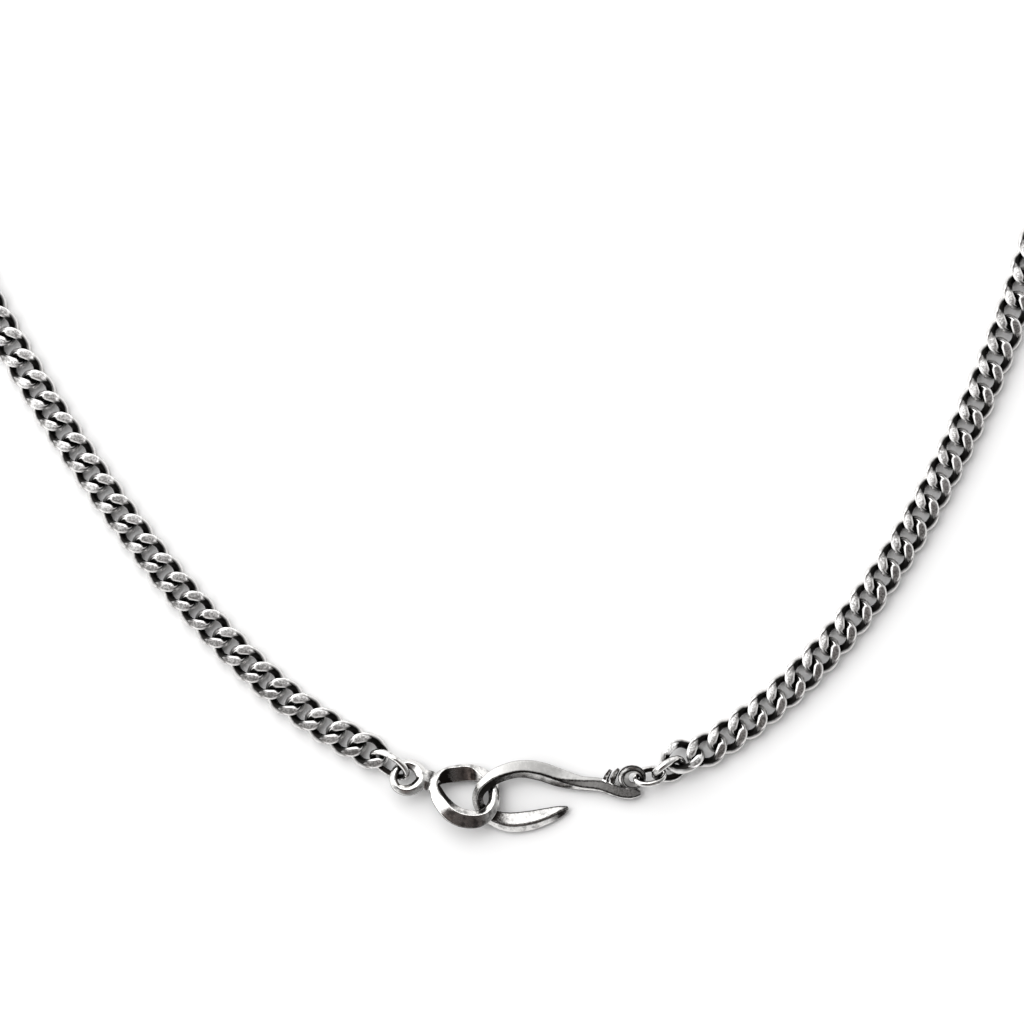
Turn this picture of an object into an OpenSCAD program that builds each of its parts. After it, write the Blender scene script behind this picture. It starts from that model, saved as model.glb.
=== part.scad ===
// Curb chain necklace with a hook-and-eye clasp, lying flat and closed.
// Millimetres. Z is up, and the chain's ground faces rest on Z = 0.
// The origin is under the middle of the whole loop, and the clasp is at -Y.

/* [Links] */
// Diameter of the round wire that the links are bent from
wire_d = 1.35; // [1.2:0.01:1.36]
// Width of a link, over its two strands
link_w = 5.05; // [4.9:0.01:5.2]
// Turn of each end of a link out of the plane of the chain, in degrees
link_twist = 48; // [46:1:50]
// Thickness of the chain between its two ground faces
chain_t = 2.1; // [2:0.01:2.3]
// Distance from the middle of a link to the middle of the next, before it is shared out evenly
link_pitch = 3.43; // [3.38:0.01:3.5]
// Play between two links that thread each other
link_play = 0.08; // [0.04:0.01:0.12]
// Depth to which the links of a joined run are sunk into each other
link_bite = 0.15; // [0.1:0.01:0.2]

/* [Loop] */
// Middle of the first link left of the clasp, and the direction of the chain there, in degrees
left_start = [-20.0, 2.78, 153.2];
// Middle of the first regular link right of the clasp, and the direction of the chain there
right_start = [27.0, 2.92, 31.4];
// Bends of the chain up the left side, in order, as rows of [radius, length]
left_bends = [[63, 16], [116, 16], [195, 16], [250, 32], [150, 16]];
// Bends of the chain up the right side, in order, as rows of [radius, length]
right_bends = [[74, 16], [80, 16], [132, 16], [198, 37], [150, 14]];

/* [Clasp] */
// Slope of the eye along X, because it leans on the ring at its left end
eye_slope_x = -0.10; // [-0.12:0.01:-0.08]
// Slope of the eye along Y, because it leans on the hook's lower arm
eye_slope_y = -0.30; // [-0.32:0.01:-0.28]
// Thickness of the eye's bar
eye_t = 1.3; // [1.1:0.05:1.35]
// Half-widths of the loop at the hook's end, along and across the bar, to the middle of its wall
hook_loop = [1.5, 1.7];
// Lean of that loop from lying flat, in degrees
hook_loop_lean = 38; // [36:1:40]

/* [Hidden] */
// Links on each side of the clasp that are pieces of their own, and joined runs past them
side_links = 20;
runs = 7;
function link_name(i) = str("link_", i < 10 ? "0" : "", i);

// Rings and sides of a mesh, in the links that thread freely, inside the runs and in the loose rings
fine_mesh = [16, 6];
plain_mesh = [8, 6];
loose_mesh = [20, 8];
link_b = (link_w - wire_d) / 2;
half_t = chain_t / 2;

function unit(v) = v / norm(v);
function heading(a) = [cos(a), sin(a)];
function last(v) = v[len(v) - 1];

// A place on the route is [x, y, direction], and an arc of it is [place, curvature, length].

function after(p, k, s) =
    let (a = p[2] + k * s * 180 / PI)
    [p[0] + (sin(a) - sin(p[2])) / k, p[1] - (cos(a) - cos(p[2])) / k, a];

function arcs(p, bends, side, i = 0) =
    i == len(bends) ? [] :
    let (k = side / bends[i][0], s = bends[i][1])
    concat([[p, k, s]], arcs(after(p, k, s), bends, side, i + 1));

function arc_end(a) = after(a[0], a[1], a[2]);

function backwards(list) = [
    for (i = [len(list) - 1 : -1 : 0])
    let (p = arc_end(list[i]))
    [[p[0], p[1], p[2] + 180], -list[i][1], list[i][2]]
];

// The one arc that leaves place p in its own direction and ends at point q
function arc_to(p, q) =
    let (
        chord = q - [p[0], p[1]],
        t = heading(p[2]),
        a = atan2(t[0] * chord[1] - t[1] * chord[0], t * chord),
        r = norm(chord) / (2 * sin(a))
    )
    [p, 1 / r, r * 2 * a * PI / 180];

// Two arcs that join two places without a corner, which close the loop behind the photograph's view
function two_arcs(p, q) =
    let (
        t = heading(p[2]), u = heading(q[2]),
        v = [q[0] - p[0], q[1] - p[1]],
        w = t + u,
        c = 2 * (1 - t * u),
        d = (sqrt((v * w) * (v * w) + c * (v * v)) - v * w) / c,
        middle = ([p[0] + q[0], p[1] + q[1]] + d * (t - u)) / 2,
        first = arc_to(p, middle)
    )
    [first, arc_to(arc_end(first), [q[0], q[1]])];

left_arcs = arcs(left_start, left_bends, -1);
right_arcs = backwards(arcs(right_start, right_bends, 1));
route = concat(left_arcs, two_arcs(arc_end(last(left_arcs)), right_arcs[0][0]), right_arcs);

function route_length(i = 0) = i == len(route) ? 0 : route[i][2] + route_length(i + 1);
function place_at(s, i = 0) =
    s <= route[i][2] || i == len(route) - 1
        ? after(route[i][0], route[i][1], s)
        : place_at(s - route[i][2], i + 1);

link_count = round(route_length() / link_pitch) + 1;
pitch = route_length() / (link_count - 1);
places = [for (i = [0 : link_count - 1]) place_at(i * pitch)];

// A ring's centreline at the angle t, with half-lengths to its left and right and its two ends turned
function ring_point(t, left, right, b, twist) =
    let (phi = -twist * cos(t))
    [(cos(t) > 0 ? right : left) * cos(t), b * sin(t) * cos(phi), b * sin(t) * sin(phi)];

function ring_section(t, left, right, b, twist, r, sides, top) =
    let (
        c = ring_point(t, left, right, b, twist),
        along = unit(ring_point(t + 1, left, right, b, twist) - ring_point(t - 1, left, right, b, twist)),
        out = unit(c - (c * along) * along),
        up = cross(along, out)
    )
    [
        for (k = [0 : sides - 1])
        let (q = c + r * (cos(360 * k / sides) * out + sin(360 * k / sides) * up))
        [q[0], q[1], min(max(q[2], -top), top)]
    ];

// Triangles of a tube of n rings of m points, closed on itself or with flat ends
function tube_faces(n, m, closed) = concat(
    [
        for (i = [0 : n - (closed ? 1 : 2)], k = [0 : m - 1])
        let (a = i * m + k, b = i * m + (k + 1) % m, step = ((i + 1) % n) * m)
        each [[a, step + k, step + (k + 1) % m], [a, step + (k + 1) % m, b]]
    ],
    closed ? [] : [[for (k = [0 : m - 1]) k], [for (k = [m - 1 : -1 : 0]) (n - 1) * m + k]]
);

module ring(left, right, b, twist, d, mesh, top = 100) {
    sections = [
        for (i = [0 : mesh[0] - 1])
        each ring_section(360 * i / mesh[0], left, right, b, twist, d / 2, mesh[1], top)
    ];
    polyhedron(sections, tube_faces(mesh[0], mesh[1], true));
}

// One curb link at its place on the route, with its play at each end, or a bite where play is negative
module curb_link(i, left_play, right_play, mesh) {
    p = places[i];
    translate([p[0], p[1], half_t])
        rotate(p[2])
            ring((pitch + wire_d + left_play) / 2, (pitch + wire_d + right_play) / 2,
                link_b, link_twist, wire_d, mesh, half_t);
}

// The first twenty separate links go up the left side, and the others up the right side.
module separate_link(i) {
    color("silver")
        curb_link(i <= side_links ? i - 1 : link_count + side_links - i, link_play, link_play, fine_mesh);
}

hidden_links = link_count - 2 * side_links;
function run_start(i) = side_links + round((i - 1) * hidden_links / runs);

module run(i) {
    first = run_start(i);
    end = run_start(i + 1) - 1;
    color("darkgray")
        union()
            for (k = [first : end])
                curb_link(k, k > first ? -link_bite : link_play, k < end ? -link_bite : link_play,
                    k == first || k == end ? fine_mesh : plain_mesh);
}

// A smooth line through rows of numbers, with count steps from one row to the next
function blend(a, b, c, d, t) =
    (2 * b + (c - a) * t + (2 * a - 5 * b + 4 * c - d) * t * t + (3 * b - a - 3 * c + d) * t * t * t) / 2;

function smooth(rows, count, closed) =
    let (n = len(rows))
    [
        for (i = [0 : n - (closed ? 1 : 2)], j = [0 : count - 1])
        let (
            before = closed ? rows[(i + n - 1) % n] : rows[max(i - 1, 0)],
            next = rows[(i + 1) % n],
            following = closed ? rows[(i + 2) % n] : rows[min(i + 2, n - 1)]
        )
        blend(before, rows[i], next, following, j / count),
        if (!closed) last(rows)
    ];

// A forged bar's section, with a wide bevel along each edge
bevel = [0.28, 0.36];
function bar_outline(w, t) =
    let (x = w / 2, y = t / 2, u = x - bevel[0] * w, v = y - bevel[1] * t)
    [[x, v], [u, y], [-u, y], [-x, v], [-x, -v], [-u, -y], [u, -y], [x, -v]];

// A bar along rows of [x, y, z, width, thickness], with its flat side facing up
module bar(rows, up, closed) {
    n = len(rows);
    points = [
        for (i = [0 : n - 1])
        let (
            row = rows[i],
            c = [row[0], row[1], row[2]],
            a = closed ? rows[(i + n - 1) % n] : rows[max(i - 1, 0)],
            b = closed ? rows[(i + 1) % n] : rows[min(i + 1, n - 1)],
            along = unit([b[0] - a[0], b[1] - a[1], b[2] - a[2]]),
            side = unit(cross(up, along)),
            face = cross(along, side)
        )
        for (q = bar_outline(row[3], row[4]))
        c + q[0] * side + q[1] * face
    ];
    polyhedron(points, tube_faces(n, 8, closed));
}

// Height of the leaning eye's middle plane
eye_pivot = [-2.5, -3.75, 1.55];
eye_up = unit([-eye_slope_x, -eye_slope_y, 1]);
function eye_rows(rows) = [
    for (r = rows)
    [r[0], r[1],
     eye_pivot[2] + eye_slope_x * (r[0] - eye_pivot[0]) + eye_slope_y * (r[1] - eye_pivot[1]),
     r[2], r[3] * eye_t]
];

// The eye's large ring, clockwise from the neck, as [x, y, width, share of the thickness]
eye_large = [
    [-10.65, -1.70, 1.4, 0.95],
    [ -9.40, -0.75, 2.1, 1],
    [ -7.70, -0.42, 2.4, 1],
    [ -5.80, -0.30, 2.4, 1],
    [ -4.05, -0.75, 2.1, 1],
    [ -2.85, -1.80, 1.7, 1],
    [ -2.45, -3.20, 1.6, 1],
    [ -2.60, -4.60, 1.6, 1],
    [ -3.30, -5.85, 1.9, 1],
    [ -4.80, -6.62, 2.4, 1],
    [ -6.70, -6.52, 2.6, 1],
    [ -8.35, -5.75, 2.6, 1],
    [ -9.65, -4.40, 2.3, 1],
    [-10.45, -3.00, 1.9, 0.95]
];

// The eye's small ring, clockwise from the neck
eye_small = [
    [-12.25, -1.05, 1.7, 0.9],
    [-13.00, -2.35, 1.7, 0.9],
    [-14.50, -2.80, 1.4, 0.85],
    [-15.90, -2.30, 1.2, 0.85],
    [-16.45, -1.00, 1.1, 0.85],
    [-15.85,  0.35, 1.1, 0.80],
    [-14.50,  1.00, 1.2, 0.80],
    [-12.95,  0.45, 1.6, 0.9]
];

// The neck that joins the two rings
eye_neck = [
    [-12.35, -1.00, 2.7, 0.75],
    [-11.40, -1.40, 2.5, 0.75],
    [-10.40, -1.85, 2.0, 0.75]
];

// The hook's bar, from the end under the loop to the open tip, as [x, y, z, width, thickness]
hook_bar = [
    [17.80, -3.15, 0.60, 0.8, 0.9],
    [16.70, -3.10, 0.70, 1.8, 1.3],
    [15.00, -2.92, 0.75, 1.9, 1.4],
    [12.25, -2.02, 0.80, 1.9, 1.5],
    [ 9.45, -1.75, 0.85, 2.0, 1.6],
    [ 6.65, -1.04, 1.10, 2.5, 1.6],
    [ 3.90, -0.10, 1.50, 2.6, 1.6],
    [ 1.10,  0.25, 1.95, 2.4, 1.6],
    [-1.65, -0.45, 2.48, 2.2, 1.5],
    [-3.50, -1.65, 2.60, 1.9, 1.4],
    [-4.55, -2.95, 2.00, 1.6, 1.5],
    [-4.75, -4.15, 1.40, 1.5, 1.5],
    [-4.30, -5.30, 0.88, 1.6, 1.4],
    [-2.90, -6.50, 0.72, 2.1, 1.4],
    [-0.30, -7.20, 0.80, 2.7, 1.5],
    [ 2.50, -6.95, 0.80, 2.7, 1.5],
    [ 4.90, -6.30, 0.75, 2.2, 1.4],
    [ 6.70, -5.68, 0.65, 1.5, 1.1],
    [ 7.80, -5.25, 0.55, 0.6, 0.7]
];

// The soldered loop stands on the bar, and its upper side leans away from the hook's tip.
hook_loop_at = [16.62, -0.92, 2.35];
hook_loop_section = [0.9, 0.8];
function hook_loop_rows(count) = [
    for (i = [0 : count - 1])
    let (a = -360 * i / count)
    [hook_loop_at[0] + hook_loop[0] * cos(a),
     hook_loop_at[1] + hook_loop[1] * sin(a) * cos(hook_loop_lean),
     hook_loop_at[2] + hook_loop[1] * sin(a) * sin(hook_loop_lean),
     hook_loop_section[0], hook_loop_section[1]]
];

// The loose rings, as [x, y, z, yaw, pitch, roll, half-length, half-width, twist, wire]
end_left_ring = [-16.97, 0.84, 1.52, -31.6, -8.9, 40.8, 2.75, 1.49, 0, 0.92];
jump_ring_row = [19.10, -0.77, 2.14, 12.8, 8.0, -36.8, 2.00, 1.24, 0, 0.84];
end_right_ring_1 = [21.80, 0.18, 1.82, 11.1, 28.3, 44.0, 2.22, 1.69, 19.6, 1.10];
end_right_ring_2 = [23.65, 2.01, 1.67, 5.6, 8.4, -15.0, 2.52, 1.85, 46, 1.26];

module loose_ring(p, top = 100) {
    color("gainsboro")
        translate([p[0], p[1], p[2]])
            rotate([p[5], p[4], p[3]])
                ring(p[6], p[6], p[7], p[8], p[9], loose_mesh, top);
}

// The route is drawn from the clasp, and the whole is then moved so that the loop's middle is the origin.
xs = [for (p = places) p[0]];
ys = [for (p = places) p[1]];
hook_low = min([for (r = hook_bar) r[1] - r[3] / 2]);
loop_middle = [(max(xs) + min(xs)) / 2, (max(ys) + link_w / 2 + hook_low) / 2];

module place() {
    translate([-loop_middle[0], -loop_middle[1], 0]) children();
}

module eye() {
    color("gainsboro")
        union() {
            bar(smooth(eye_rows(eye_large), 2, true), eye_up, true);
            bar(smooth(eye_rows(eye_small), 2, true), eye_up, true);
            bar(eye_rows(eye_neck), eye_up, false);
        }
}

module hook() {
    color("gainsboro")
        union() {
            bar(smooth(hook_bar, 2, false), [0, 0, 1], false);
            bar(hook_loop_rows(20), [0, -sin(hook_loop_lean), cos(hook_loop_lean)], true);
        }
}

for (i = [1 : 2 * side_links])
    place() separate_link(i);
for (i = [1 : runs])
    place() run(i);
place() loose_ring(end_left_ring);  // end_link_left
place() eye();
place() hook();
place() loose_ring(jump_ring_row);  // jump_ring
place() loose_ring(end_right_ring_1);  // end_link_right_1
place() loose_ring(end_right_ring_2, half_t);  // end_link_right_2
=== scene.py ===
"""A silver curb chain, closed by a forged hook in a figure-eight eye, lying on a pale floor.

The shapes are worked out in millimetres from the middle of the clasp, as the part's own source has them.
They are moved under the middle of the whole loop, and become metres, where a mesh is made.
"""

from __future__ import annotations

import logging
import math
from dataclasses import dataclass, field, replace
from enum import Enum
from typing import Any, NamedTuple, Sequence

import bpy
import numpy as np
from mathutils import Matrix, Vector
from mathutils.bvhtree import BVHTree

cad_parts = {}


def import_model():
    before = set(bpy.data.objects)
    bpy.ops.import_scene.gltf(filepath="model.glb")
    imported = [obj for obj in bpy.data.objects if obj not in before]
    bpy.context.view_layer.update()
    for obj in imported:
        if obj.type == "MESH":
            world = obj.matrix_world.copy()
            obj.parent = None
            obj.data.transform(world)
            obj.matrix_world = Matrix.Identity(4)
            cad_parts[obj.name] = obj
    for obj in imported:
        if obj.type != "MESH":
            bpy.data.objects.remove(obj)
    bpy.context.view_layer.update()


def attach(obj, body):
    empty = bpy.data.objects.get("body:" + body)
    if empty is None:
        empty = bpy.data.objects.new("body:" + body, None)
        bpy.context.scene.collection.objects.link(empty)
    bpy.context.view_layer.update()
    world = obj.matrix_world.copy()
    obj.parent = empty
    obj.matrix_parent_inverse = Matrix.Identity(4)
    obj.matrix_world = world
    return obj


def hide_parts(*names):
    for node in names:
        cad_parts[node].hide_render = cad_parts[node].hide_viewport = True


log = logging.getLogger("curb_chain")

Vec = np.ndarray
Pair = tuple[float, float]
Triple = tuple[float, float, float]
Colour = tuple[float, float, float]
Inputs = dict[str | int, Any]
Socket = bpy.types.NodeSocket

MM = 0.001
UPRIGHT: Triple = (0.0, 0.0, 1.0)
# Radians either side of a section, between which the wire's direction is taken
SMALL_TURN = 0.01
# A thickness between the ground planes that no link reaches, so that its wire stays round
NEVER_GROUND = 100.0
# Noise is seldom below the first or above the second
NOISE_RANGE: Pair = (0.3, 0.7)


class Slot(Enum):
    """The record's material slots."""

    CHAIN = "chain_silver"
    CLASP = "clasp_silver"


class Turn(Enum):
    """The way in which a side of the route bends, seen from above."""

    CLOCKWISE = -1
    ANTICLOCKWISE = 1


def unit(v: Vec) -> Vec:
    """Return the vectors along the last axis of v, each at length one."""
    return v / np.linalg.norm(v, axis=-1, keepdims=True)


def turning(yaw: float, pitch: float, roll: float) -> Vec:
    """Return the matrix that rolls about X, then pitches about Y, then yaws about Z.

    Args:
        yaw: Degrees about Z.
        pitch: Degrees about Y.
        roll: Degrees about X.

    Returns:
        A matrix of 3 by 3.
    """
    (cz, sz), (cy, sy), (cx, sx) = [(math.cos(a), math.sin(a)) for a in np.radians([yaw, pitch, roll])]
    about_z = np.array([[cz, -sz, 0.0], [sz, cz, 0.0], [0.0, 0.0, 1.0]])
    about_y = np.array([[cy, 0.0, sy], [0.0, 1.0, 0.0], [-sy, 0.0, cy]])
    about_x = np.array([[1.0, 0.0, 0.0], [0.0, cx, -sx], [0.0, sx, cx]])
    return about_z @ about_y @ about_x


def smooth(rows: Vec, steps: int, closed: bool) -> Vec:
    """Return a smooth line through rows of numbers.

    Args:
        rows: One row for each point that the line goes through.
        steps: Number of rows made from each given row to the next.
        closed: Whether the line goes on from the last row to the first.

    Returns:
        The rows of the line.
    """
    n = len(rows)
    made = []
    for i in range(n if closed else n - 1):
        near = [(i + k) % n if closed else min(max(i + k, 0), n - 1) for k in (-1, 0, 1, 2)]
        a, b, c, d = rows[near]
        for t in np.arange(steps) / steps:
            bend = (2 * a - 5 * b + 4 * c - d) * t**2 + (3 * b - a - 3 * c + d) * t**3
            made.append(b + ((c - a) * t + bend) / 2.0)
    if not closed:
        made.append(rows[-1])
    return np.array(made)


def in_scene(name: str, data: bpy.types.ID) -> bpy.types.Object:
    """Return a new object that shows some data in the scene.

    Args:
        name: The object's name.
        data: Its mesh, light or camera.

    Returns:
        The object, at the origin.
    """
    made = bpy.data.objects.new(name, data)
    bpy.context.scene.collection.objects.link(made)
    return made


def evaluated_mesh(thing: bpy.types.Object) -> bpy.types.Mesh:
    """Return the mesh that an object's modifiers make of it.

    Args:
        thing: An object in the scene, with all its modifiers set.

    Returns:
        The result as a plain mesh.
    """
    bpy.context.view_layer.update()
    evaluated = thing.evaluated_get(bpy.context.evaluated_depsgraph_get())
    return bpy.data.meshes.new_from_object(evaluated)


def discard(thing: bpy.types.Object) -> None:
    """Remove a scratch object and its mesh.

    Args:
        thing: The object.
    """
    mesh = thing.data
    bpy.data.objects.remove(thing)
    bpy.data.meshes.remove(mesh)


class Place(NamedTuple):
    """A place on the chain's route, with the chain's heading there in degrees."""

    x: float
    y: float
    heading: float


class Arc(NamedTuple):
    """One arc of the route: where it starts, its curvature and its length."""

    start: Place
    curvature: float
    length: float

    def at(self, s: float) -> Place:
        """Return the place at a distance along the arc.

        Args:
            s: The distance from the arc's start.

        Returns:
            The place, with the heading there.
        """
        before = math.radians(self.start.heading)
        now = before + self.curvature * s
        x = self.start.x + (math.sin(now) - math.sin(before)) / self.curvature
        y = self.start.y - (math.cos(now) - math.cos(before)) / self.curvature
        return Place(x, y, math.degrees(now))

    def end(self) -> Place:
        """Return the place where the arc ends."""
        return self.at(self.length)

    def turned_round(self) -> Arc:
        """Return the same arc, followed the other way."""
        last = self.end()
        return Arc(Place(last.x, last.y, last.heading + 180.0), -self.curvature, self.length)


@dataclass
class Route:
    """The way the chain takes: up the left side from the clasp, round the back and down the right side.

    Attributes:
        left_start: Place of the first link on the clasp's left.
        right_start: Place of the first link on the clasp's right, heading away from the clasp.
        left_bends: Radius and length of each arc of the left side, from the clasp outwards.
        right_bends: The same for the right side.
        wanted_pitch: Distance from link to link that the real pitch comes close to.
        link_width: Width of the chain.
        clasp_low: Y of the clasp's lowest edge, which is the hook's.
        pitch: Distance from link to link, with the links shared out evenly.
        places: The place of each link.
    """

    left_start: Place = Place(-20.0, 2.78, 153.2)
    right_start: Place = Place(27.0, 2.92, 31.4)
    left_bends: tuple[Pair, ...] = ((63, 16), (116, 16), (195, 16), (250, 32), (150, 16))
    right_bends: tuple[Pair, ...] = ((74, 16), (80, 16), (132, 16), (198, 37), (150, 14))
    wanted_pitch: float = 3.43
    link_width: float = 5.05
    clasp_low: float = -8.55
    pitch: float = field(init=False)
    places: list[Place] = field(init=False)

    def __post_init__(self) -> None:
        """Share the links out evenly along the route."""
        left = self.bend(self.left_start, self.left_bends, Turn.CLOCKWISE)
        right = self.bend(self.right_start, self.right_bends, Turn.ANTICLOCKWISE)
        right = [arc.turned_round() for arc in reversed(right)]
        arcs = left + self.closing(left[-1].end(), right[0].start) + right
        starts = np.cumsum([0.0] + [arc.length for arc in arcs])
        count = round(starts[-1] / self.wanted_pitch) + 1
        self.pitch = starts[-1] / (count - 1)
        self.places = []
        for s in np.arange(count) * self.pitch:
            i = min(max(int(np.searchsorted(starts, s)) - 1, 0), len(arcs) - 1)
            self.places.append(arcs[i].at(s - starts[i]))

    @staticmethod
    def bend(start: Place, bends: Sequence[Pair], turn: Turn) -> list[Arc]:
        """Return the arcs of one side of the chain.

        Args:
            start: The place of the side's first link.
            bends: Rows of radius and length.
            turn: The way that the side bends.

        Returns:
            The arcs in order, each starting where the last one ends.
        """
        arcs: list[Arc] = []
        for radius, length in bends:
            arcs.append(Arc(start, turn.value / radius, length))
            start = arcs[-1].end()
        return arcs

    @staticmethod
    def arc_to(start: Place, x: float, y: float) -> Arc:
        """Return the one arc that leaves a place in its own direction and ends at a point.

        Args:
            start: The place that the arc leaves.
            x: The point's distance along X.
            y: The point's distance along Y.

        Returns:
            The arc.
        """
        heading = math.radians(start.heading)
        dx, dy = x - start.x, y - start.y
        along = math.cos(heading) * dx + math.sin(heading) * dy
        across = math.cos(heading) * dy - math.sin(heading) * dx
        turn = math.atan2(across, along)
        radius = math.hypot(dx, dy) / (2.0 * math.sin(turn))
        return Arc(start, 1.0 / radius, radius * 2.0 * turn)

    def closing(self, p: Place, q: Place) -> list[Arc]:
        """Return the two arcs that join two places without a corner, behind the photograph's view.

        Both places send out a straight line of the same length, the first forwards and the second backwards.
        The arcs meet halfway between the ends of those lines.

        Args:
            p: The place where the first arc starts.
            q: The place where the second arc ends.

        Returns:
            The two arcs.
        """
        headings = np.radians([p.heading, q.heading])
        leaving, arriving = [np.array([math.cos(h), math.sin(h)]) for h in headings]
        gap = np.array([q.x - p.x, q.y - p.y])
        along = gap @ (leaving + arriving)
        spread = 2.0 * (1.0 - leaving @ arriving)
        line = (math.sqrt(along**2 + spread * (gap @ gap)) - along) / spread
        middle = (np.array([p.x + q.x, p.y + q.y]) + line * (leaving - arriving)) / 2.0
        first = self.arc_to(p, *middle)
        return [first, self.arc_to(first.end(), q.x, q.y)]

    def middle(self) -> Vec:
        """Return the point under the middle of the whole loop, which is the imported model's origin."""
        xs, ys = [p.x for p in self.places], [p.y for p in self.places]
        return np.array([max(xs) + min(xs), max(ys) + self.link_width / 2.0 + self.clasp_low, 0.0]) / 2.0


@dataclass
class Shape:
    """Points and faces in millimetres, with named marks on the points that the finishes read."""

    points: Vec
    faces: list[tuple[int, ...]]
    marks: dict[str, Vec] = field(default_factory=dict)

    def joined(self, *others: Shape) -> Shape:
        """Return this shape and others as one shape of several shells.

        Args:
            others: The other shapes.

        Returns:
            The new shape, without marks.
        """
        points, faces = list(self.points), list(self.faces)
        for other in others:
            faces += [tuple(i + len(points) for i in f) for f in other.faces]
            points += list(other.points)
        return Shape(np.array(points), faces)

    def placed(self, at: Vec, turn: Vec | None = None) -> Shape:
        """Return the shape with its marks, turned by a matrix, if one is given, and then moved."""
        points = self.points if turn is None else self.points @ turn.T
        return Shape(points + at, self.faces, dict(self.marks))

    def tree(self) -> BVHTree:
        """Return a tree of the faces, for rays."""
        return BVHTree.FromPolygons([Vector(p) for p in self.points], self.faces)

    def normals(self) -> Vec:
        """Return the outward normal at each point.

        Returns:
            One row for each point.
        """
        made = bpy.data.meshes.new("normals")
        made.from_pydata(self.points.tolist(), [], self.faces)
        out = np.array([v.normal[:] for v in made.vertices])
        bpy.data.meshes.remove(made)
        return out

    def mesh(self, name: str, shift: Vec) -> bpy.types.Mesh:
        """Return a smooth-shaded mesh in metres, with the marks as its attributes.

        Args:
            name: The mesh's name.
            shift: Added to each point first, in millimetres.

        Returns:
            The mesh.
        """
        made = bpy.data.meshes.new(name)
        made.from_pydata(((self.points + shift) * MM).tolist(), [], self.faces)
        for key, values in self.marks.items():
            made.attributes.new(key, "FLOAT", "POINT").data.foreach_set("value", values.astype(np.float32))
        made.shade_smooth()
        return made


def tube(sections: Vec, closed: bool, marks: dict[str, Vec]) -> Shape:
    """Return a tube through rings of points.

    Args:
        sections: Rings of points, each anticlockwise when the tube's direction points at the viewer.
        closed: Whether the last ring joins the first one. If not, flat faces close the ends.
        marks: Named marks, with one number for each point of each ring.

    Returns:
        The tube as one closed shell.
    """
    rings, sides = sections.shape[:2]
    faces: list[tuple[int, ...]] = []
    for i in range(rings if closed else rings - 1):
        a, b = i * sides, (i + 1) % rings * sides
        faces += [(a + k, a + (k + 1) % sides, b + (k + 1) % sides, b + k) for k in range(sides)]
    if not closed:
        faces.append(tuple(reversed(range(sides))))
        faces.append(tuple(range((rings - 1) * sides, rings * sides)))
    return Shape(sections.reshape(-1, 3), faces, {k: v.reshape(-1) for k, v in marks.items()})


def united(name: str, shapes: Sequence[Shape]) -> Shape:
    """Return shapes that run into each other as one closed shell.

    Args:
        name: A name for the scratch objects.
        shapes: The shapes, all with the same marks.

    Returns:
        Their union, with their marks.
    """
    holders = [in_scene(name, shape.mesh(name, np.zeros(3))) for shape in shapes]
    for other in holders[1:]:
        union = holders[0].modifiers.new("union", "BOOLEAN")
        union.operation = "UNION"
        union.solver = "EXACT"
        union.object = other
    made = evaluated_mesh(holders[0])
    points = np.array([v.co[:] for v in made.vertices]) / MM
    faces = [tuple(p.vertices) for p in made.polygons]
    marks = {k: np.array([d.value for d in made.attributes[k].data]) for k in shapes[0].marks}
    for holder in holders:
        discard(holder)
    bpy.data.meshes.remove(made)
    return Shape(points, faces, marks)


@dataclass(frozen=True)
class Cavities:
    """Rays that tell how shut in each point of a surface is. Black tarnish outlasts polishing there.

    Attributes:
        reach: How far a ray looks.
        rays: Number of rays from each point.
        lift: How far above the surface they start.
        fade: How much less a surface at full reach shuts a point in than one close by.
    """

    reach: float = 1.6
    rays: int = 40
    lift: float = 0.02
    fade: float = 0.6

    def fan(self) -> Vec:
        """Return directions spread over half a sphere round +Z, closer together near its top.

        Returns:
            One row for each ray.
        """
        i = np.arange(self.rays) + 0.5
        height = np.sqrt(1.0 - i / self.rays)
        # Turning by the golden angle from each ray to the next spreads them evenly.
        turn = i * math.pi * (3.0 - math.sqrt(5.0))
        flat = np.sqrt(1.0 - height**2)
        return np.stack([flat * np.cos(turn), flat * np.sin(turn), height], 1)

    def mark(self, shape: Shape, around: Sequence[Shape]) -> None:
        """Give a shape the mark shut_in, from 0 in the open to 1.

        Args:
            shape: The shape that is marked.
            around: The other shapes that may close it in.
        """
        tree = shape.joined(*around).tree()
        fan = self.fan()
        shut = np.zeros(len(shape.points))
        for n, (point, up) in enumerate(zip(shape.points, shape.normals())):
            side = unit(np.cross(up, np.eye(3)[np.argmin(np.abs(up))]))
            start = Vector(point + up * self.lift)
            for ray in fan @ np.stack([side, np.cross(up, side), up]):
                far = tree.ray_cast(start, Vector(ray), self.reach)[3]
                if far is not None:
                    shut[n] += 1.0 - self.fade * far / self.reach
        shape.marks["shut_in"] = shut / self.rays


class WireCut(NamedTuple):
    """A cut square through round wire: its middle, its level side, its top and its radius."""

    middle: Vec
    side: Vec
    top: Vec
    radius: float

    def point(self, angle: float) -> Vec:
        """Return the point of the wire's surface at an angle from its side, in radians."""
        return self.middle + self.radius * (math.cos(angle) * self.side + math.sin(angle) * self.top)


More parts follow.
